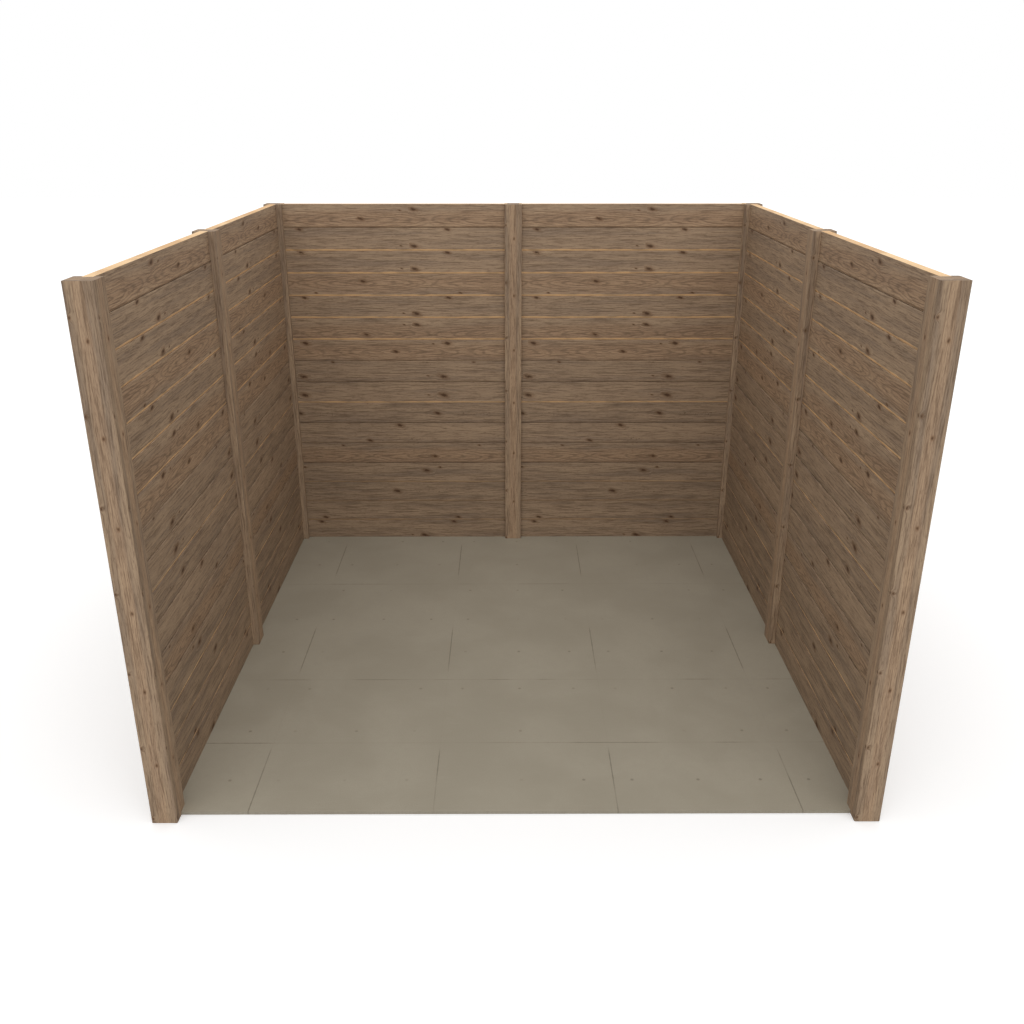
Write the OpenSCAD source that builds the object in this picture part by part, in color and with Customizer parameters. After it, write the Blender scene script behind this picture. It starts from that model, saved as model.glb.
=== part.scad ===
// Garden pergola screen, open above and at the front.
// Three walls of tongued boards, stacked on edge, stand between grooved square posts.
// A thin cast floor lies between the walls.
// The origin is the middle of the footprint, on the ground: +X right, +Y back, +Z up.

/* [Overall] */
// Width across the outer faces of the side posts
overall_width = 3000; // [2000:10:4200]
// Depth from the front of the front posts to the back of the rear posts
overall_depth = 3000; // [2000:10:4200]

/* [Posts] */
// Side of a square post
post_side = 105; // [85:0.5:150]
// Chamfer along the upright edges of a post
post_chamfer = 3; // [1:0.5:8]
// Depth of the groove that holds the ends of the boards
groove_depth = 20; // [12:1:24]

/* [Boards] */
// Number of boards stacked in each wall
board_rows = 16; // [6:1:22]
// Height that one board adds to a wall
board_cover = 137.5; // [90:0.5:200]
// Thickness of a board
board_thickness = 40; // [28:1:50]
// Chamfer along the top edges of a board
upper_chamfer = 2; // [1:0.5:6]
// Height of the long chamfer along the bottom edges of a board
lower_chamfer_height = 9; // [2:0.5:15]
// Depth of the long chamfer along the bottom edges of a board
lower_chamfer_depth = 4; // [1:0.5:7]
// Height of the tongue along the top of a board
tongue_height = 10; // [6:1:14]
// Thickness of the tongue along the top of a board
tongue_thickness = 12; // [8:1:16]

/* [Floor] */
// Thickness of the cast floor
floor_thickness = 14; // [8:1:60]

/* [Clearances] */
// Play on each side of a board in the groove of a post
side_play = 0.3; // [0.1:0.1:0.8]
// Play at each end of a board in the groove of a post
end_play = 2; // [0.5:0.5:5]
// Play around a tongue in the board above
tongue_play = 0.3; // [0.1:0.1:0.8]
// Gap between the floor and the timber around it
floor_gap = 0.5; // [0.2:0.1:0.9]

/* [Hidden] */

// Cuts reach this far past the face that they open
overcut = 1;

// The walls and the posts end level at the top
wall_height = board_rows * board_cover;

// Post centres: the side walls stand at +-side_x, the rear wall at rear_y
side_x = (overall_width - post_side) / 2;
rear_y = (overall_depth - post_side) / 2;
front_y = -rear_y;
mid_y = (front_y + rear_y) / 2;

POST_PLACES = [
    [-side_x, front_y], [-side_x, mid_y], [-side_x, rear_y], [0, rear_y],
    [side_x, rear_y], [side_x, mid_y], [side_x, front_y]
];

// Ways that a groove can face
TO_RIGHT = 0;
TO_BACK = 90;
TO_LEFT = 180;
TO_FRONT = 270;

groove_width = board_thickness + 2 * side_play;

// From one post centre to the next, in the rear wall and in the side walls
rear_bay = side_x;
side_bay = rear_y - mid_y;

// A board runs into the grooves of the two posts beside it
board_end = groove_depth - end_play;
rear_board_length = rear_bay - post_side + 2 * board_end;
side_board_length = side_bay - post_side + 2 * board_end;

// Middles of the two bays in a side wall
front_bay_y = (front_y + mid_y) / 2;
rear_bay_y = (mid_y + rear_y) / 2;

half_board = board_thickness / 2;
half_tongue = tongue_thickness / 2;
socket_depth = tongue_height + tongue_play;

post_colour = [0.60, 0.51, 0.42];
board_colour = [0.50, 0.42, 0.34];
top_board_colour = [0.56, 0.47, 0.38];
floor_colour = [0.55, 0.51, 0.44];

// Bottom and top of a board in the stack, counted from 1 at the ground
function board_low(row) = (row - 1) * board_cover;
function board_top(row) = row * board_cover;

// Points [inset, height] up one face of a stack. Each board has a long chamfer at its
// bottom edge and a short one at its top edge, but is square at the ground and at the
// top of the wall
function face_points(first, last) = [
    for (row = [first : last])
        each concat(
            row > 1 ? [[lower_chamfer_depth, board_low(row)]] : [],
            [[0, board_low(row) + (row > 1 ? lower_chamfer_height : 0)]],
            [[0, board_top(row) - (row < board_rows ? upper_chamfer : 0)]],
            row < board_rows ? [[upper_chamfer, board_top(row)]] : []
        )
];

// The tongue that stands up from the last board of a stack
function tongue_points(last) = last == board_rows ? [] : [
    [-half_tongue, board_top(last)],
    [-half_tongue, board_top(last) + tongue_height],
    [half_tongue, board_top(last) + tongue_height],
    [half_tongue, board_top(last)]
];

// The socket under the first board of a stack, which fits the tongue below it
function socket_points(first) = first == 1 ? [] : [
    [half_tongue + tongue_play, board_low(first)],
    [half_tongue + tongue_play, board_low(first) + socket_depth],
    [-half_tongue - tongue_play, board_low(first) + socket_depth],
    [-half_tongue - tongue_play, board_low(first)]
];

// Outline of a stack of boards, seen along their length
function stack_outline(first, last) = let (
    face = face_points(first, last),
    count = len(face)
) concat(
    [for (point = face) [point.x - half_board, point.y]],
    tongue_points(last),
    [for (i = [1 : count]) [half_board - face[count - i].x, face[count - i].y]],
    socket_points(first)
);

// A stack of boards from one row to another, lying along X about the origin
module stack(first, last, length) {
    rotate([90, 0, 90])
        translate([0, 0, -length / 2])
            linear_extrude(length)
                polygon(stack_outline(first, last));
}

// The part of a side wall between two posts
module side_stack(x, y, first, last) {
    translate([x, y, 0])
        rotate(90)
            stack(first, last, side_board_length);
}

// The part of the rear wall between two posts
module rear_stack(x, first, last) {
    translate([x, rear_y, 0])
        stack(first, last, rear_board_length);
}

// A square outline with its corners cut off
module chamfered_square(side, chamfer) {
    half = side / 2;
    flat = half - chamfer;
    polygon([
        [-flat, -half], [flat, -half], [half, -flat], [half, flat],
        [flat, half], [-flat, half], [-half, flat], [-half, -flat]
    ]);
}

// A post with a full-height groove in each face that a wall runs into
module post(place, groove_ways) {
    color(post_colour)
        translate([place.x, place.y, 0])
            linear_extrude(wall_height)
                difference() {
                    chamfered_square(post_side, post_chamfer);
                    for (way = groove_ways)
                        rotate(way)
                            translate([post_side / 2 - groove_depth, -groove_width / 2])
                                square([groove_depth + overcut, groove_width]);
                }
}

module post_front_left() post(POST_PLACES[0], [TO_BACK]);
module post_mid_left() post(POST_PLACES[1], [TO_BACK, TO_FRONT]);
module post_rear_left() post(POST_PLACES[2], [TO_FRONT, TO_RIGHT]);
module post_mid_rear() post(POST_PLACES[3], [TO_LEFT, TO_RIGHT]);
module post_rear_right() post(POST_PLACES[4], [TO_FRONT, TO_LEFT]);
module post_mid_right() post(POST_PLACES[5], [TO_BACK, TO_FRONT]);
module post_front_right() post(POST_PLACES[6], [TO_BACK]);

// The lowest board of each bay stands on the ground
module left_front_bottom_board() color(board_colour) side_stack(-side_x, front_bay_y, 1, 1);
module left_rear_bottom_board() color(board_colour) side_stack(-side_x, rear_bay_y, 1, 1);
module rear_left_bottom_board() color(board_colour) rear_stack(-rear_bay / 2, 1, 1);
module rear_right_bottom_board() color(board_colour) rear_stack(rear_bay / 2, 1, 1);
module right_rear_bottom_board() color(board_colour) side_stack(side_x, rear_bay_y, 1, 1);
module right_front_bottom_board() color(board_colour) side_stack(side_x, front_bay_y, 1, 1);

// All the boards of a bay between its lowest and its highest
module left_front_boards()
    color(board_colour) side_stack(-side_x, front_bay_y, 2, board_rows - 1);
module left_rear_boards()
    color(board_colour) side_stack(-side_x, rear_bay_y, 2, board_rows - 1);
module rear_left_boards()
    color(board_colour) rear_stack(-rear_bay / 2, 2, board_rows - 1);
module rear_right_boards()
    color(board_colour) rear_stack(rear_bay / 2, 2, board_rows - 1);
module right_rear_boards()
    color(board_colour) side_stack(side_x, rear_bay_y, 2, board_rows - 1);
module right_front_boards()
    color(board_colour) side_stack(side_x, front_bay_y, 2, board_rows - 1);

// The highest board of each bay has no tongue and ends flat
module left_front_top_board()
    color(top_board_colour) side_stack(-side_x, front_bay_y, board_rows, board_rows);
module left_rear_top_board()
    color(top_board_colour) side_stack(-side_x, rear_bay_y, board_rows, board_rows);
module rear_left_top_board()
    color(top_board_colour) rear_stack(-rear_bay / 2, board_rows, board_rows);
module rear_right_top_board()
    color(top_board_colour) rear_stack(rear_bay / 2, board_rows, board_rows);
module right_rear_top_board()
    color(top_board_colour) side_stack(side_x, rear_bay_y, board_rows, board_rows);
module right_front_top_board()
    color(top_board_colour) side_stack(side_x, front_bay_y, board_rows, board_rows);

// The floor runs from the middle of the front posts to the rear wall, notched round the posts
module floor_slab() {
    half_width = side_x - half_board - floor_gap;
    back = rear_y - half_board - floor_gap;
    color(floor_colour)
        linear_extrude(floor_thickness)
            difference() {
                translate([-half_width, front_y])
                    square([2 * half_width, back - front_y]);
                for (place = POST_PLACES)
                    translate(place)
                        square(post_side + 2 * floor_gap, center = true);
            }
}

post_front_left();
post_mid_left();
post_rear_left();
post_mid_rear();
post_rear_right();
post_mid_right();
post_front_right();
left_front_bottom_board();
left_front_boards();
left_front_top_board();
left_rear_bottom_board();
left_rear_boards();
left_rear_top_board();
rear_left_bottom_board();
rear_left_boards();
rear_left_top_board();
rear_right_bottom_board();
rear_right_boards();
rear_right_top_board();
right_rear_bottom_board();
right_rear_boards();
right_rear_top_board();
right_front_bottom_board();
right_front_boards();
right_front_top_board();
floor_slab();
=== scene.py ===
"""Roofless garden screen of grooved posts and tongued boards: its finishes, light and camera.

All lengths are in metres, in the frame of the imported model: +X right, +Y back, +Z up.
"""

import math

import bpy
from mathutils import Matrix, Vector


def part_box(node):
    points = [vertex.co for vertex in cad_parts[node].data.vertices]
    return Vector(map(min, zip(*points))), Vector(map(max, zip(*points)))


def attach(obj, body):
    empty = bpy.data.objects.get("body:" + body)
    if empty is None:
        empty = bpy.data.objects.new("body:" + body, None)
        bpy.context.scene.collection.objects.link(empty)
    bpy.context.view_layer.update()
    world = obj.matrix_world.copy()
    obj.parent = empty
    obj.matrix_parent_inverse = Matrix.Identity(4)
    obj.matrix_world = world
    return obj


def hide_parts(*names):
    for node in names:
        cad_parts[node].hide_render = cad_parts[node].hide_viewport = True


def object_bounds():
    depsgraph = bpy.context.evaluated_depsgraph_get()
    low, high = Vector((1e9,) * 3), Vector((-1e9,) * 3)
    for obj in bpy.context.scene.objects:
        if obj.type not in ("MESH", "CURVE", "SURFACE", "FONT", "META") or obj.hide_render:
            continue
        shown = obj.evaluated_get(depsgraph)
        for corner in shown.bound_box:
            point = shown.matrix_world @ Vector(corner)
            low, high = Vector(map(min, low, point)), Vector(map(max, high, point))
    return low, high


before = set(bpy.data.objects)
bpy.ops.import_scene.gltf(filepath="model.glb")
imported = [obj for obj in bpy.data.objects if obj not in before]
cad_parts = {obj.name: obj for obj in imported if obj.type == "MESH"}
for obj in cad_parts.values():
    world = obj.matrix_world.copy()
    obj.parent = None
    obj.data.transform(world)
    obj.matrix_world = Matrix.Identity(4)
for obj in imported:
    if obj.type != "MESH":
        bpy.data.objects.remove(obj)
CAD_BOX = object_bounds()

# ---------------------------------------------------------------- sizes

LOW, HIGH = CAD_BOX
WALL_TOP = HIGH[2]
POST_LOW, POST_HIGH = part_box("post_front_left")
POST_SIDE = POST_HIGH[0] - POST_LOW[0]
POST_SPACING = (HIGH[0] - LOW[0] - POST_SIDE) / 2
ROWS = 16
COVER = WALL_TOP / ROWS

JOINT_GAP = 0.0006
UPPER_CHAMFER = 0.002
LOWER_CHAMFER_HEIGHT = 0.009
LOWER_CHAMFER_DEPTH = 0.004
TONGUE_HEIGHT = 0.010
TONGUE_THICKNESS = 0.012
TONGUE_PLAY = 0.0003
TONGUE_TAPER = 0.96
# Cuts across each board, so that every short length of it can name its nearest knot.
GRAIN_CUTS = 47

BAYS = ("left_front", "left_rear", "rear_left", "rear_right", "right_rear", "right_front")
POSTS = (
    "post_front_left",
    "post_mid_left",
    "post_rear_left",
    "post_mid_rear",
    "post_rear_right",
    "post_mid_right",
    "post_front_right",
)

# Rows are counted from the top. The joint under one of these rows shows raw wood on its chamfer,
# as strongly as the share says.
RAW_JOINTS = {2: 1.0, 3: 1.0, 4: 1.0, 5: 1.0, 6: 1.0, 9: 0.9, 13: 1.0, 14: 0.6, 15: 1.0}
# On the rear wall the raw edges of the lowest joints are dimmed down to this share, as painted shade.
SHADED_RAW_ROW = 13
SHADED_RAW_SHARE = 0.3
# The joint under one of these rows is open enough to read as a dark line.
OPEN_JOINTS = (1, 8, 10, 11, 12)
OPEN_GAP = 0.0022

# A board's figure repeats along it after this many millimetres.
FIGURE_REPEAT = 900
# Knots in each row: distance from the bay's end, height in the board, half length, in millimetres.
EDGE_KNOTS = ((350, 127, 9), (555, 28, 12), (635, 30, 4))
KNOTS = {
    1: ((555, 107, 11), (635, 101, 4), (875, 53, 9)),
    2: EDGE_KNOTS,
    3: EDGE_KNOTS,
    4: ((880, 90, 9), (275, 19, 5)),
    5: EDGE_KNOTS,
    6: ((555, 96, 11), (635, 96, 4), (875, 33, 9)),
    7: ((365, 115, 12), (455, 111, 4), (695, 62, 9)),
    8: ((395, 35, 13), (495, 41, 4), (200, 130, 5)),
    9: ((395, 50, 13), (495, 52, 4)),
    10: ((440, 67, 11),),
    11: ((690, 122, 11), (890, 18, 9)),
    12: ((465, 45, 9), (170, 122, 5)),
    13: ((525, 83, 12), (435, 107, 6)),
    14: ((725, 74, 11),),
    15: ((320, 22, 9),),
    16: EDGE_KNOTS,
}
# Rows with an arched figure: distance of its middle from the bay's end, height of its middle.
ARCHES = {1: (875, 45), 4: (880, 80), 6: (875, 40), 7: (695, 60), 12: (465, 45)}
# Rows with a run of short dark flecks: from, to along the board, and height.
FLECKS = {8: (480, 540, 122), 10: (110, 330, 62), 11: (545, 640, 28), 14: (395, 610, 74)}
# How light each row is: the wood's own tone from row to row, plus painted shade that darkens the lowest
# rows.
ROW_TONES_AND_SHADE = (1.09, 1.02, 1.0, 1.04, 0.97, 0.99, 1.01, 0.94, 0.97, 0.91, 0.96, 0.93, 0.88, 0.83, 0.86, 0.88)

MM = 0.001


# ---------------------------------------------------------------- modelling

def deselect():
    bpy.ops.object.select_all(action="DESELECT")


def choose(piece):
    deselect()
    piece.select_set(True)
    bpy.context.view_layer.objects.active = piece


def pick_faces(piece, wanted):
    """Leaves the piece in edit mode with only the wanted faces selected."""
    bpy.ops.object.mode_set(mode="EDIT")
    bpy.ops.mesh.select_mode(type="FACE")
    bpy.ops.mesh.select_all(action="DESELECT")
    bpy.ops.object.mode_set(mode="OBJECT")
    for face in piece.data.polygons:
        face.select = wanted(face)
    bpy.ops.object.mode_set(mode="EDIT")


def pick_edges(piece, wanted):
    """Leaves the piece in edit mode with only the wanted edges selected."""
    bpy.ops.object.mode_set(mode="EDIT")
    bpy.ops.mesh.select_mode(type="EDGE")
    bpy.ops.mesh.select_all(action="DESELECT")
    bpy.ops.object.mode_set(mode="OBJECT")
    points = piece.data.vertices
    for edge in piece.data.edges:
        edge.select = wanted(points[edge.vertices[0]].co, points[edge.vertices[1]].co)
    bpy.ops.object.mode_set(mode="EDIT")


def draw_out(rise, thin):
    """Extrudes the selected faces up by rise and thins them across the board."""
    bpy.ops.mesh.extrude_region_move(TRANSFORM_OT_translate={"value": (0, 0, rise)})
    bpy.ops.transform.resize(value=(1, thin, 1), center_override=(0, 0, 0))


def plank(name, length, thickness, bottom, top, tongue, groove):
    """One board along X, centred on Y, between two heights, with its chamfers, tongue and groove."""
    body_low = bottom + (LOWER_CHAMFER_HEIGHT if groove else 0)
    body_high = top - (UPPER_CHAMFER if tongue else 0)
    deselect()
    bpy.ops.mesh.primitive_cube_add(
        size=1,
        location=(0, 0, (body_low + body_high) / 2),
        scale=(length, thickness, body_high - body_low),
    )
    piece = bpy.context.active_object
    piece.name = name
    bpy.ops.object.transform_apply(location=True, rotation=True, scale=True)
    pick_edges(piece, lambda a, b: abs(a.x - b.x) > length / 2)
    bpy.ops.mesh.subdivide(number_cuts=GRAIN_CUTS)
    bpy.ops.object.mode_set(mode="OBJECT")
    if tongue:
        pick_faces(piece, lambda face: face.normal.z > 0.9)
        shoulder = thickness - 2 * UPPER_CHAMFER
        draw_out(UPPER_CHAMFER, shoulder / thickness)
        draw_out(0, TONGUE_THICKNESS / shoulder)
        draw_out(TONGUE_HEIGHT, TONGUE_TAPER)
        bpy.ops.object.mode_set(mode="OBJECT")
    if groove:
        pick_faces(piece, lambda face: face.normal.z < -0.9)
        foot = thickness - 2 * LOWER_CHAMFER_DEPTH
        slit = TONGUE_THICKNESS + 2 * TONGUE_PLAY
        draw_out(-LOWER_CHAMFER_HEIGHT, foot / thickness)
        draw_out(0, slit / foot)
        draw_out(TONGUE_HEIGHT + TONGUE_PLAY, 1)
        bpy.ops.object.mode_set(mode="OBJECT")
    return piece


def own_copy(piece, name):
    double = piece.copy()
    double.data = piece.data.copy()
    double.name = name
    bpy.context.collection.objects.link(double)
    return double


def settle(piece):
    """Writes the piece's place and turn into its mesh."""
    choose(piece)
    bpy.ops.object.transform_apply(location=True, rotation=True, scale=True)


def join(pieces, name):
    deselect()
    for piece in pieces:
        piece.select_set(True)
    bpy.context.view_layer.objects.active = pieces[0]
    bpy.ops.object.join()
    joined = bpy.context.active_object
    joined.name = name
    return joined


def row_from_top(height):
    return min(ROWS, max(1, int((WALL_TOP - height) / COVER) + 1))


FACE_MARKS = (
    "row_base",
    "tone",
    "row_number",
    "knot_along",
    "knot_up",
    "knot_size",
    "arch_along",
    "arch_up",
    "arch",
    "fleck",
    "fleck_up",
    "raw_joint",
)


def face_values(mesh, name, values):
    mesh.attributes.new(name=name, type="FLOAT", domain="FACE").data.foreach_set("value", values)


def every_knot(row):
    """The row's knots and their repeats further along."""
    repeats = [(place + FIGURE_REPEAT, up, size) for place, up, size in KNOTS[row]]
    return list(KNOTS[row]) + repeats


def mark_grain(piece, side_wall):
    """Tells the wood finish where each face lies along its board and which knot is nearest."""
    mesh = piece.data
    run = 1 if side_wall else 0
    # Lengths start at the front post on a side wall and at the right-hand post at the back.
    lengths = [point.co[run] if side_wall else -point.co[run] for point in mesh.vertices]
    in_far_bay = sum(lengths) > 0
    start = POST_SIDE / 2 - (0 if in_far_bay else POST_SPACING)
    places = [length - start for length in lengths]
    along = mesh.attributes.new(name="along", type="FLOAT", domain="POINT")
    along.data.foreach_set("value", places)
    marks = {name: [] for name in FACE_MARKS}
    for face in mesh.polygons:
        row = row_from_top(face.center.z)
        base = (ROWS - row) * COVER
        here = sum(places[i] for i in face.vertices) / len(face.vertices)
        knot = min(every_knot(row), key=lambda k: abs(k[0] * MM - here))
        arch = ARCHES.get(row)
        fleck = FLECKS.get(row)
        in_fleck = bool(fleck) and fleck[0] * MM < here % (FIGURE_REPEAT * MM) < fleck[1] * MM
        marks["row_base"].append(base)
        marks["row_number"].append(row)
        # The row's lightness, which on the lowest rows holds painted shade.
        marks["tone"].append(ROW_TONES_AND_SHADE[row - 1])
        marks["knot_along"].append(knot[0] * MM)
        marks["knot_up"].append(knot[1] * MM)
        marks["knot_size"].append(knot[2] * MM)
        marks["arch"].append(1.0 if arch else 0.0)
        marks["arch_along"].append(arch[0] * MM if arch else 0.0)
        marks["arch_up"].append(arch[1] * MM if arch else 0.0)
        # Painted shade: on the rear wall the lowest raw joints show less raw wood.
        dimmed_by_shade = not side_wall and row >= SHADED_RAW_ROW
        marks["raw_joint"].append(RAW_JOINTS.get(row, 0.0) * (SHADED_RAW_SHARE if dimmed_by_shade else 1.0))
        marks["fleck"].append(1.0 if in_fleck else 0.0)
        marks["fleck_up"].append(fleck[2] * MM if fleck else 0.0)
    for name, values in marks.items():
        face_values(mesh, name, values)


# ---------------------------------------------------------------- finishes

def tint(red, green, blue):
    """A colour given as screen levels, as the shaders want it."""
    levels = [v / 255 for v in (red, green, blue)]
    linear = [v / 12.92 if v <= 0.04045 else ((v + 0.055) / 1.055) ** 2.4 for v in levels]
    return (*linear, 1.0)


class Level:
    """A number that varies over a surface, open to ordinary arithmetic."""

    def __init__(self, finish, socket):
        self.finish = finish
        self.socket = socket

    def work(self, operation, *values):
        return self.finish.maths(operation, *values)

    def __add__(self, other):
        return self.work("ADD", self, other)

    def __radd__(self, other):
        return self.work("ADD", other, self)

    def __sub__(self, other):
        return self.work("SUBTRACT", self, other)

    def __rsub__(self, other):
        return self.work("SUBTRACT", other, self)

    def __mul__(self, other):
        return self.work("MULTIPLY", self, other)

    def __rmul__(self, other):
        return self.work("MULTIPLY", other, self)

    def __truediv__(self, other):
        return self.work("DIVIDE", self, other)

    def __abs__(self):
        return self.work("ABSOLUTE", self)


class Finish:
    """A material, built one node at a time."""

    def __init__(self, name):
        self.material = bpy.data.materials.new(name)
        self.material.use_nodes = True
        self.tree = self.material.node_tree
        self.tree.nodes.clear()

    def feed(self, socket, value):
        if isinstance(value, Level):
            value = value.socket
        if isinstance(value, bpy.types.NodeSocket):
            self.tree.links.new(value, socket)
        else:
            socket.default_value = value

    def node(self, kind, settings=None, sockets=None):
        made = self.tree.nodes.new(kind)
        for name, value in (settings or {}).items():
            setattr(made, name, value)
        for name, value in (sockets or {}).items():
            self.feed(made.inputs[name], value)
        return made

    def maths(self, operation, *values):
        made = self.node("ShaderNodeMath", {"operation": operation}, dict(enumerate(values)))
        return Level(self, made.outputs[0])

    def attribute(self, name):
        return Level(self, self.node("ShaderNodeAttribute", {"attribute_name": name}).outputs["Fac"])

    def place(self):
        """Object X, Y and Z as three levels."""
        coordinates = self.node("ShaderNodeTexCoord")
        parts = self.node("ShaderNodeSeparateXYZ", sockets={0: coordinates.outputs["Object"]})
        return [Level(self, output) for output in parts.outputs]

    def facing(self):
        """The surface normal's X, Y and Z as three levels."""
        coordinates = self.node("ShaderNodeTexCoord")
        parts = self.node("ShaderNodeSeparateXYZ", sockets={0: coordinates.outputs["Normal"]})
        return [Level(self, output) for output in parts.outputs]

    def vector(self, x, y, z):
        return self.node("ShaderNodeCombineXYZ", sockets={0: x, 1: y, 2: z}).outputs[0]

    def noise(self, vector, scale=1.0, detail=3.0, rough=0.55, warp=0.0):
        made = self.node(
            "ShaderNodeTexNoise",
            sockets={
                "Vector": vector,
                "Scale": scale,
                "Detail": detail,
                "Roughness": rough,
                "Distortion": warp,
            },
        )
        return Level(self, made.outputs["Fac"])

    def ramp(self, value, start, end):
        """0 below start, 1 above end, and a smooth climb between them."""
        made = self.node(
            "ShaderNodeMapRange",
            {"interpolation_type": "SMOOTHSTEP"},
            {"Value": value, "From Min": start, "From Max": end},
        )
        return Level(self, made.outputs["Result"])

    def blend(self, share, first, second):
        """The first colour, turned to the second by the share."""
        made = self.node("ShaderNodeMix", {"data_type": "RGBA", "clamp_factor": True})
        self.feed(made.inputs[0], share)
        self.feed(made.inputs[6], first)
        self.feed(made.inputs[7], second)
        return made.outputs[2]

    def shade(self, colour, amount):
        """The colour times a level."""
        made = self.node("ShaderNodeVectorMath", {"operation": "SCALE"})
        self.feed(made.inputs[0], colour)
        self.feed(made.inputs["Scale"], amount)
        return made.outputs[0]

    def surface(self, colour, rough, height, strength, distance, specular=0.3):
        bump = self.node(
            "ShaderNodeBump",
            sockets={"Strength": strength, "Distance": distance, "Height": height},
        )
        skin = self.node(
            "ShaderNodeBsdfPrincipled",
            sockets={
                "Base Color": colour,
                "Roughness": rough,
                "Normal": bump.outputs[0],
                "Specular IOR Level": specular,
            },
        )
        self.node("ShaderNodeOutputMaterial", sockets={"Surface": skin.outputs[0]})
        return self.material


WOOD_DARK = tint(104, 82, 63)
WOOD_MID = tint(151, 128, 105)
WOOD_PALE = tint(179, 153, 125)
WOOD_WARM = tint(172, 136, 103)
WOOD_GREY = tint(140, 123, 107)
KNOT_HEART = tint(78, 54, 37)
KNOT_RIM = tint(116, 84, 57)
RAW_EDGE = tint(238, 194, 142)
RAW_DARK = tint(214, 168, 118)
RAW_PALE = tint(252, 214, 164)


def grain(finish, length, height, seed):
    """Long soft bands, fine fibre lines and pores that run along the wood."""
    bands = finish.noise(finish.vector(length * 1.4, height * 24.0, seed), 1.0, 2.0, 0.5, 0.5)
    fibres = finish.noise(finish.vector(length * 9.0, height * 185.0, seed + 7.3), 1.0, 4.0, 0.62)
    pores = finish.noise(finish.vector(length * 34.0, height * 420.0, seed + 3.1), 1.0, 2.0, 0.5)
    return bands, fibres, pores


def weathered_wood(finish, bands, fibres, pores, arch_lines, warmth, knot_heart, knot_rim, tone):
    pale = finish.ramp(bands, 0.28, 0.74)
    colour = finish.blend(pale * 0.8, WOOD_MID, WOOD_PALE)
    colour = finish.blend(finish.ramp(bands, 0.52, 0.30) * 0.40, colour, WOOD_GREY)
    colour = finish.blend(warmth, colour, WOOD_WARM)
    colour = finish.blend(finish.ramp(fibres, 0.54, 0.34) * 0.66, colour, WOOD_DARK)
    colour = finish.blend(finish.ramp(fibres, 0.53, 0.70) * 0.50, colour, WOOD_PALE)
    colour = finish.blend(finish.ramp(pores, 0.46, 0.32) * 0.50, colour, WOOD_DARK)
    colour = finish.blend(arch_lines * 0.44, colour, WOOD_DARK)
    colour = finish.blend(knot_rim * 0.55, colour, KNOT_RIM)
    colour = finish.blend(knot_heart * 0.94, colour, KNOT_HEART)
    return finish.shade(colour, tone)


ARCH_REPEAT = 0.42
ARCH_LENGTH = 0.26
ARCH_HEIGHT = 0.026


def board_finish():
    """Weathered boards, with knots and arched figures where each row's marks say."""
    wood = Finish("board_timber_weathered")
    height = wood.place()[2]
    along = wood.attribute("along")
    up = height - wood.attribute("row_base")
    row = wood.attribute("row_number")
    size = wood.attribute("knot_size") * 1.25
    wobble = wood.noise(wood.vector(along * 60.0, up * 60.0, row), 1.0, 2.0)
    from_knot = (along - wood.attribute("knot_along")) / (size * 1.7) + (wobble - 0.5) * 1.3
    over_knot = (up - wood.attribute("knot_up")) / (size * 0.8)
    over_knot = over_knot - from_knot * 0.35 + (wobble - 0.5) * 1.3
    reach = wood.maths("SQRT", from_knot * from_knot + over_knot * over_knot)
    heart = wood.ramp(reach, 1.10, 0.25)
    rim = wood.ramp(reach, 2.1, 0.6)
    parting = wood.maths("EXPONENT", reach * reach * -0.18)
    flow = up - (up - wood.attribute("knot_up")) * parting * 0.75
    sway = wood.noise(wood.vector(along * 2.2, row * 3.0, 0.0), 1.0, 1.0)
    flow = flow + (sway - 0.5) * 0.004
    bands, fibres, pores = grain(wood, along, flow, row * 11.0)
    arch_x = wood.maths("PINGPONG", along - wood.attribute("arch_along"), ARCH_REPEAT) / ARCH_LENGTH
    arch_y = (flow - wood.attribute("arch_up")) / ARCH_HEIGHT
    arch_wave = wood.noise(wood.vector(along * 7.0, flow * 26.0, row), 1.0, 3.0)
    arch_reach = wood.maths("SQRT", arch_x * arch_x + arch_y * arch_y) + (arch_wave - 0.5) * 0.8
    ring = wood.maths("PINGPONG", arch_reach * 2.6, 0.5)
    inside = wood.ramp(arch_reach, 2.8, 1.4) * wood.attribute("arch")
    arch_lines = wood.ramp(ring, 0.30, 0.02) * inside
    fleck_noise = wood.noise(wood.vector(along * 75.0, up * 95.0, row * 5.0), 1.0, 1.0)
    near_fleck = wood.ramp(abs(up - wood.attribute("fleck_up")), 0.020, 0.006)
    flecks = wood.ramp(fleck_noise, 0.60, 0.68) * near_fleck * wood.attribute("fleck")
    heart = wood.maths("MAXIMUM", heart, flecks * 0.7)
    warmth = inside * (0.42 - arch_lines * 0.2)
    # Each row's lightness: its own tone, plus painted shade on the lowest rows.
    tone = wood.attribute("tone")
    colour = weathered_wood(wood, bands, fibres, pores, arch_lines, warmth, heart, rim, tone)
    # Above a raw joint the planed wood shows on the chamfer and a little way up the face.
    ragged = wood.noise(wood.vector(along * 6.0, up * 20.0, row * 2.0), 1.0, 3.0)
    edge_height = 0.0085 + (ragged - 0.5) * 0.010
    cover = 0.45 + wood.ramp(ragged, 0.32, 0.58) * 0.45
    bare = wood.ramp(up, edge_height + 0.003, edge_height) * cover
    colour = wood.blend(bare * wood.attribute("raw_joint"), colour, RAW_EDGE)
    rough = 0.72 + (fibres - 0.5) * 0.25
    relief = fibres * 0.6 + pores * 0.4 - arch_lines * 0.2 - heart * 0.3
    return wood.surface(colour, rough, relief, 0.35, 0.0012)


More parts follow.
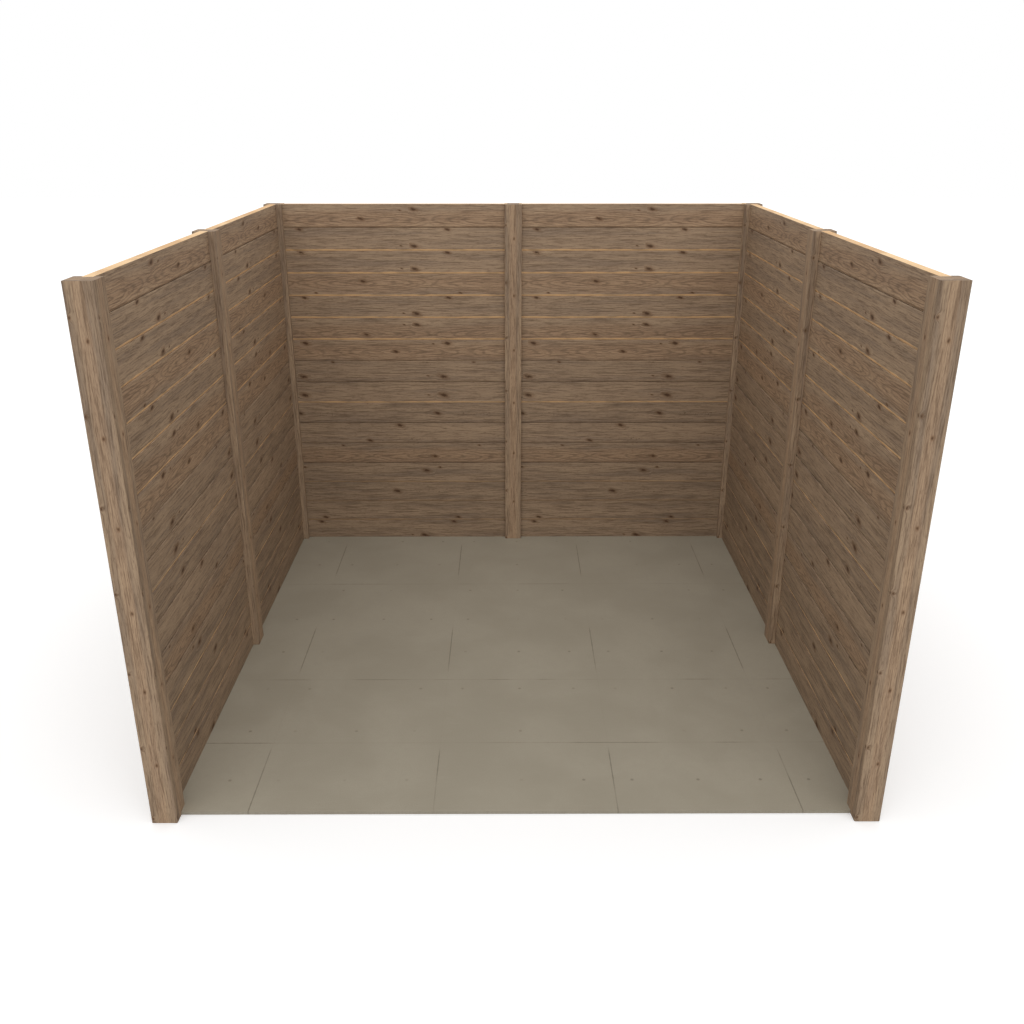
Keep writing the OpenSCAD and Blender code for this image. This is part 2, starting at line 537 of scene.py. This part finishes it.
def raw_finish():
    """Fresh pine where the boards are planed after staining: the top board's upper edge. The chamfers'
    raw colour is mixed into the board finish.
    """
    pine = Finish("board_timber_raw")
    x, y, z = pine.place()
    across = x + y
    lines = pine.noise(pine.vector(x * 6.0, y * 6.0, z * 160.0), 1.0, 3.0)
    figure = pine.noise(pine.vector(across * 1.6, (x - y) * 1.6, z * 40.0), 1.0, 2.0)
    colour = pine.blend(pine.ramp(figure, 0.35, 0.65), RAW_PALE, tint(226, 182, 130))
    colour = pine.blend(pine.ramp(lines, 0.55, 0.32) * 0.6, colour, RAW_DARK)
    return pine.surface(colour, 0.62 + (lines - 0.5) * 0.2, lines, 0.2, 0.0008)


KNOT_STEP = 0.343


def post_finish():
    """Weathered posts: the grain stands upright, with small knots at an even spacing."""
    wood = Finish("post_timber_weathered")
    x, y, z = wood.place()
    half = POST_SPACING / 2
    post_x = wood.maths("WRAP", x, half, -half)
    post_y = wood.maths("WRAP", y, half, -half)
    facing_y = wood.ramp(abs(wood.facing()[1]), 0.4, 0.6)
    across = post_x * facing_y + post_y * (1.0 - facing_y)
    depth = post_y * facing_y + post_x * (1.0 - facing_y)
    side = wood.maths("SIGN", depth)
    wobble = wood.noise(wood.vector(across * 60.0, z * 60.0, side), 1.0, 2.0)

    def knot_column(offset, first, size):
        step = wood.maths("WRAP", z - first, KNOT_STEP / 2, -KNOT_STEP / 2)
        level = step / (size * 1.5) + (wobble - 0.5) * 0.9
        beside = (across - offset) / size + (wobble - 0.5) * 0.9
        return wood.maths("SQRT", level * level + beside * beside)

    reach = wood.maths("MINIMUM", knot_column(0.005, 0.284, 0.0055), knot_column(-0.044, 0.364, 0.0048))
    heart = wood.ramp(reach, 1.10, 0.25) * 0.8
    rim = wood.ramp(reach, 2.1, 0.6)
    parting = wood.maths("EXPONENT", reach * reach * -0.25)
    sway = wood.noise(wood.vector(z * 1.8, side * 5.0, facing_y * 3.0), 1.0, 1.0)
    flow = across * (1.0 - parting * 0.4) + (sway - 0.5) * 0.008
    bands, fibres, pores = grain(wood, z, flow, side * 3.0 + facing_y * 17.0)
    arch_wave = wood.noise(wood.vector(z * 9.0, flow * 40.0, side), 1.0, 3.0)
    arch = abs(flow) / 0.02 + (arch_wave - 0.5) * 1.6
    ring = wood.maths("PINGPONG", arch * 2.6, 0.5)
    inside = wood.ramp(arch, 1.3, 0.7)
    arch_lines = wood.ramp(ring, 0.30, 0.02) * inside
    tone = 1.00 + wood.ramp(abs(flow), 0.028, 0.014) * 0.16
    warmth = inside * 0.22
    colour = weathered_wood(wood, bands, fibres, pores, arch_lines * 0.6, warmth, heart, rim, tone)
    rough = 0.72 + (fibres - 0.5) * 0.25
    relief = fibres * 0.6 + pores * 0.4 - heart * 0.3
    return wood.surface(colour, rough, relief, 0.35, 0.0012)


CONCRETE_PALE = tint(168, 160, 143)
CONCRETE_DARK = tint(161, 153, 136)
JOINT_DARK = tint(112, 104, 90)
JOINT_COLUMN_STEP = 0.771
JOINT_COLUMN_FIRST = 0.425
JOINT_COLUMN_BREAK = 1.15
JOINT_ROWS = (0.691, -0.417, -0.965)
TIE_HOLE_COLUMNS = (0.507, 0.024, 0.296)
TIE_HOLE_ROW_STEP = 0.3685
TIE_HOLE_ROW_FIRST = 0.603


def slab_finish():
    """Cast slab with broken form joints and small tie holes."""
    slab = Finish("floor_concrete_cast")
    x, y, _ = slab.place()

    def from_nearest(level, first, step):
        return slab.maths("WRAP", level - first, step / 2, -step / 2)

    flat = slab.vector(x, y, 0.0)
    cloud = slab.noise(flat, 2.2, 4.0, 0.5, 0.3)
    mottle = slab.noise(flat, 26.0, 4.0, 0.6)
    grit = slab.noise(flat, 260.0, 2.0, 0.5)
    brush_x = slab.noise(slab.vector(x * 8.0, y * 120.0, 0.0), 1.0, 3.0)
    brush_y = slab.noise(slab.vector(x * 120.0, y * 8.0, 4.0), 1.0, 3.0)
    kink = (mottle - 0.5) * 0.004
    breaks = slab.noise(slab.vector(x * 2.4, y * 2.4, 9.0), 1.0, 2.0)
    column = abs(from_nearest(x, JOINT_COLUMN_FIRST, JOINT_COLUMN_STEP)) + kink
    stretch = slab.ramp(abs(from_nearest(y, 1.05, JOINT_COLUMN_BREAK)), 0.26, 0.18)
    joint = slab.ramp(column, 0.0036, 0.0012) * (0.06 + stretch * slab.ramp(breaks, 0.30, 0.55) * 0.94)
    for place in JOINT_ROWS:
        strength = 0.18 + slab.ramp(breaks, 0.47, 0.60) * 0.82
        line = slab.ramp(abs(y - place) + kink, 0.0036, 0.0012) * strength
        joint = slab.maths("MAXIMUM", joint, line)
    hole_y = from_nearest(y, TIE_HOLE_ROW_FIRST, TIE_HOLE_ROW_STEP)
    hole = None
    for place in TIE_HOLE_COLUMNS:
        hole_x = from_nearest(x, place, JOINT_COLUMN_STEP)
        pit = slab.ramp(slab.maths("SQRT", hole_x * hole_x + hole_y * hole_y), 0.0100, 0.0040)
        hole = pit if hole is None else slab.maths("MAXIMUM", hole, pit)
    hole = hole * slab.ramp(slab.noise(flat, 1.9, 1.0), 0.36, 0.60)
    colour = slab.blend(slab.ramp(cloud, 0.35, 0.65), CONCRETE_DARK, CONCRETE_PALE)
    colour = slab.blend(slab.ramp(mottle, 0.60, 0.34) * 0.30, colour, CONCRETE_DARK)
    colour = slab.blend(slab.ramp(grit, 0.62, 0.36) * 0.14, colour, JOINT_DARK)
    colour = slab.blend(slab.ramp(brush_x, 0.58, 0.72) * 0.30, colour, CONCRETE_PALE)
    colour = slab.blend(slab.ramp(brush_y, 0.42, 0.30) * 0.30, colour, CONCRETE_DARK)
    colour = slab.blend(slab.maths("MAXIMUM", joint * 0.65, hole * 0.55), colour, JOINT_DARK)
    relief = mottle * 0.4 + grit * 0.3 - joint - hole
    return slab.surface(colour, 0.80 + (mottle - 0.5) * 0.2, relief, 0.3, 0.001)


BOARD_WOOD = board_finish()
RAW_WOOD = raw_finish()
POST_WOOD = post_finish()
CONCRETE = slab_finish()

# ---------------------------------------------------------------- boards

low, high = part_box("rear_left_boards")
BOARD_LENGTH = high[0] - low[0]
BOARD_THICKNESS = high[1] - low[1]


def row_heights(row):
    """Where a row's board starts and ends, with the gap that its upper joint leaves."""
    bottom = (ROWS - row) * COVER
    if row == 1:
        return bottom, WALL_TOP
    gap = OPEN_GAP if row - 1 in OPEN_JOINTS else JOINT_GAP
    return bottom, bottom + COVER - gap


def board(row):
    bottom, top = row_heights(row)
    piece = plank("row", BOARD_LENGTH, BOARD_THICKNESS, bottom, top, row > 1, row < ROWS)
    piece.data.materials.append(BOARD_WOOD)
    piece.data.materials.append(RAW_WOOD)
    for face in piece.data.polygons:
        upper_edge = row == 1 and face.normal.z > 0.9
        face.material_index = 1 if upper_edge else 0
    return piece


PATTERNS = {
    "bottom_board": board(ROWS),
    "boards": join([board(row) for row in range(ROWS - 1, 1, -1)], "middle_rows"),
    "top_board": board(1),
}

for bay in BAYS:
    side_wall = not bay.startswith("rear")
    for part, pattern in PATTERNS.items():
        node = bay + "_" + part
        low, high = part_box(node)
        piece = own_copy(pattern, node + "_timber")
        piece.location = ((low[0] + high[0]) / 2, (low[1] + high[1]) / 2, 0)
        piece.rotation_euler = (0, 0, math.pi / 2 if side_wall else 0)
        settle(piece)
        mark_grain(piece, side_wall)
        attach(piece, "root")
        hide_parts(node)

for pattern in PATTERNS.values():
    bpy.data.objects.remove(pattern)

# ---------------------------------------------------------------- posts and slab

for name in POSTS:
    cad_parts[name].data.materials.clear()
    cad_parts[name].data.materials.append(POST_WOOD)
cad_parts["floor_slab"].data.materials.clear()
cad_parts["floor_slab"].data.materials.append(CONCRETE)

# ---------------------------------------------------------------- floor, light and camera

GROUND_REACH = 60.0
GROUND_DROP = 0.001
GROUND_LIFT = 0.15


def ground_finish():
    """Pale ground that the eye sees as white, with the object's shadow on it."""
    ground = Finish("ground_pale")
    path = ground.node("ShaderNodeLightPath")
    colour = ground.blend(path.outputs["Is Camera Ray"], tint(172, 172, 172), tint(255, 255, 255))
    skin = ground.node("ShaderNodeBsdfDiffuse", sockets={"Color": colour})
    lift = ground.node("ShaderNodeEmission", sockets={"Color": tint(255, 255, 255)})
    seen_lift = ground.maths("MULTIPLY", path.outputs["Is Camera Ray"], GROUND_LIFT)
    ground.feed(lift.inputs["Strength"], seen_lift)
    both = ground.node("ShaderNodeAddShader", sockets={0: skin.outputs[0], 1: lift.outputs[0]})
    ground.node("ShaderNodeOutputMaterial", sockets={"Surface": both.outputs[0]})
    return ground.material


deselect()
bpy.ops.mesh.primitive_plane_add(size=GROUND_REACH, location=(0, 0, -GROUND_DROP))
ground = bpy.context.active_object
ground.name = "ground"
ground.data.materials.append(ground_finish())

SKY_LEVEL = 0.86
world = bpy.data.worlds.new("studio")
bpy.context.scene.world = world
world.use_nodes = True
sky = world.node_tree
sky.nodes.clear()
path = sky.nodes.new("ShaderNodeLightPath")
dome = sky.nodes.new("ShaderNodeBackground")
dome.inputs["Color"].default_value = (1, 1, 1, 1)
dome.inputs["Strength"].default_value = SKY_LEVEL
seen = sky.nodes.new("ShaderNodeBackground")
seen.inputs["Color"].default_value = (1, 1, 1, 1)
seen.inputs["Strength"].default_value = 1.0
choice = sky.nodes.new("ShaderNodeMixShader")
sky.links.new(path.outputs["Is Camera Ray"], choice.inputs[0])
sky.links.new(dome.outputs[0], choice.inputs[1])
sky.links.new(seen.outputs[0], choice.inputs[2])
output = sky.nodes.new("ShaderNodeOutputWorld")
sky.links.new(choice.outputs[0], output.inputs["Surface"])

FRONT_LIGHT_LEVEL = 0.75
FRONT_LIGHT_TILT = math.radians(48)
FRONT_LIGHT_SPREAD = math.radians(75)

deselect()
bpy.ops.object.light_add(type="SUN", location=(0, -4, 5), rotation=(FRONT_LIGHT_TILT, 0, 0))
front_light = bpy.context.active_object
front_light.name = "front_light"
front_light.data.energy = FRONT_LIGHT_LEVEL
front_light.data.angle = FRONT_LIGHT_SPREAD

CAMERA_PLACE = (-0.0301, -4.7937, 2.7134)
CAMERA_DIP = math.radians(22.041)
CAMERA_TURN = math.radians(-0.212)
CAMERA_LENS = 34.718
CAMERA_SENSOR = 36.0

deselect()
bpy.ops.object.camera_add(location=CAMERA_PLACE, rotation=(math.pi / 2 - CAMERA_DIP, 0, CAMERA_TURN))
camera = bpy.context.active_object
camera.data.lens = CAMERA_LENS
camera.data.sensor_width = CAMERA_SENSOR
bpy.context.scene.camera = camera
bpy.context.scene.view_settings.view_transform = "Standard"
